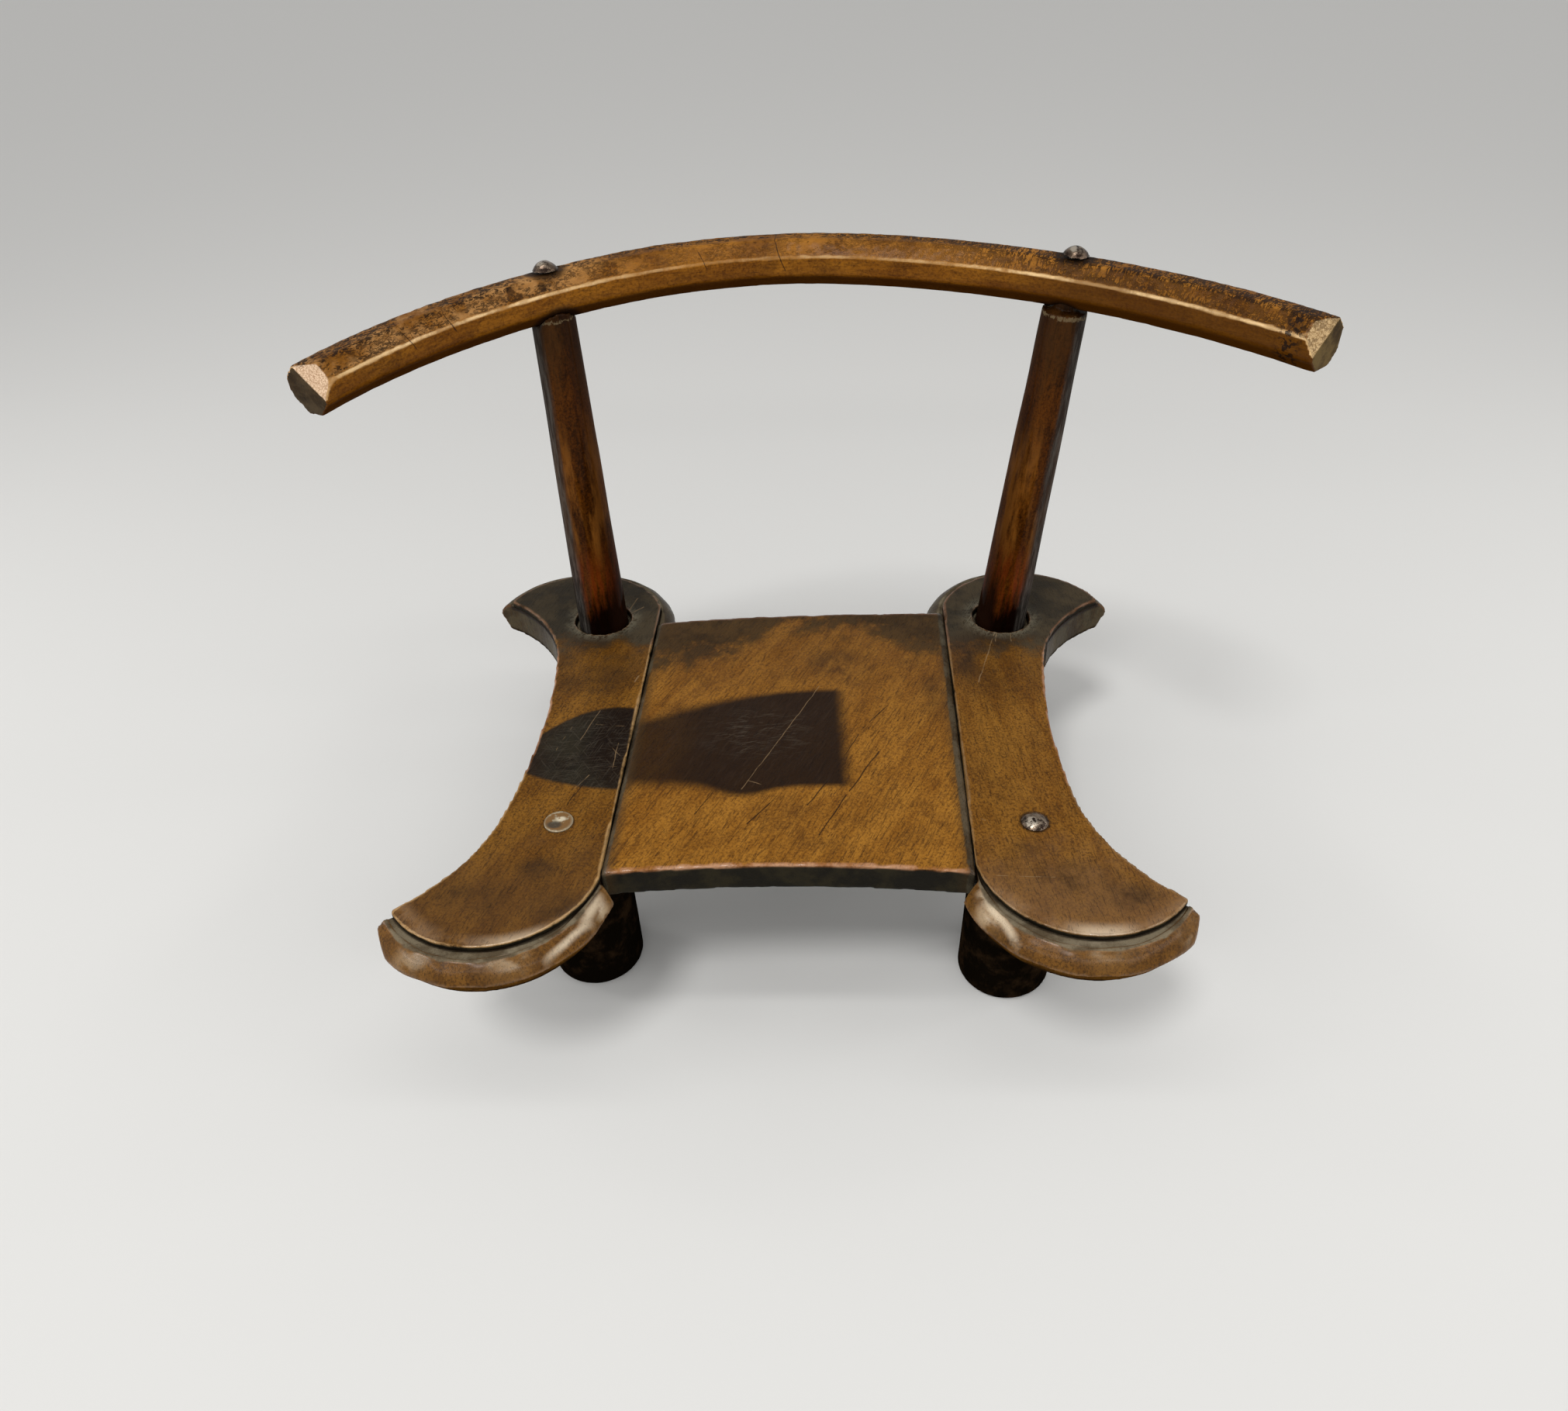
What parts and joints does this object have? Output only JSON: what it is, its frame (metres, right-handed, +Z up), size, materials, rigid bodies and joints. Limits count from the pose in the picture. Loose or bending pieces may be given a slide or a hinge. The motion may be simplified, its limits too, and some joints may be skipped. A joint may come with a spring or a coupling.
{
  "type": "low wooden chair",
  "caption": "Low carved wooden chair: a board seat flaring into horned ends over round legs, with a bent back rail held by posts.",
  "frame": {"origin": "on the floor plane, under the middle of the whole chair's footprint, rail included", "axes": "+X to the right as seen from the front, along the chair's width; +Y to the back; +Z up"},
  "size_m": [0.6875, 0.4809, 0.4665],
  "materials": {
    "seat_wood": "hand-planed golden-brown hardwood with dark, worn patina and a soft polish",
    "leg_wood": "carved dark-brown hardwood, polished by wear on the lips and dull on the feet",
    "post_wood": "dark reddish-brown hardwood, glossy from handling",
    "rail_wood": "honey-brown bent hardwood, glossy, crazed and pitted along its top",
    "iron": "dark forged iron, softly worn",
    "worn_metal": "pale worn metal, dull"
  },
  "bodies": {
    "root": {"seat_panel": "seat_wood", "side_plank_left": "seat_wood", "side_plank_right": "seat_wood", "front_leg_left": "leg_wood", "front_leg_right": "leg_wood", "rear_leg_left": "leg_wood", "rear_leg_right": "leg_wood", "back_post_left": "post_wood", "back_post_right": "post_wood", "back_rail": "rail_wood", "rail_nails": "iron", "seat_nail_domed": "iron", "seat_nail_flat": "worn_metal"}
  },
  "joints": []
}
